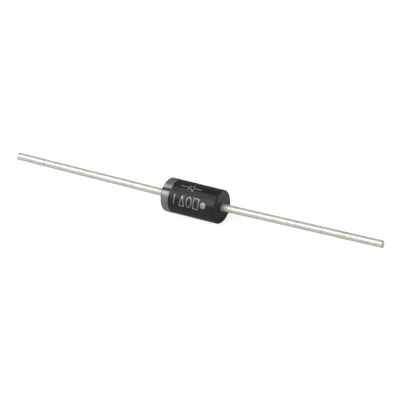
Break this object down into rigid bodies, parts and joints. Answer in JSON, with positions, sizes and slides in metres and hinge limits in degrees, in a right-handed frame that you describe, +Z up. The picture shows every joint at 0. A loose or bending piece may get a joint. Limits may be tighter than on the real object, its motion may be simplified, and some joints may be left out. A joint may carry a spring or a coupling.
{
  "type": "axial rectifier diode",
  "caption": "Axial-lead silicon rectifier diode: black moulded epoxy case with a grey cathode band and two long straight tinned copper leads.",
  "frame": {"origin": "middle of the case, on the lead axis, which is the middle of the bounding box", "axes": "X along the leads: the cathode lead and its band at -X, the anode lead at +X; +Z up as the part lies on its case"},
  "size_m": [0.0634, 0.0052, 0.0052],
  "materials": {
    "moulded_epoxy": "satin black moulding compound with a fine grain",
    "band_ink": "pale grey pad-printed ink, slightly ragged at the parting line",
    "tinned_copper": "matte tin plating with faint drawing marks",
    "solder": "high-lead die solder",
    "silicon": "plated and etched silicon",
    "silicone_coating": "cured silicone rubber"
  },
  "bodies": {
    "root": {"case": "moulded_epoxy", "cathode_band": "band_ink", "cathode_lead": "tinned_copper", "anode_lead": "tinned_copper", "cathode_solder": "solder", "anode_solder": "solder", "silicon_die": "silicon", "junction_coating": "silicone_coating"}
  },
  "joints": []
}
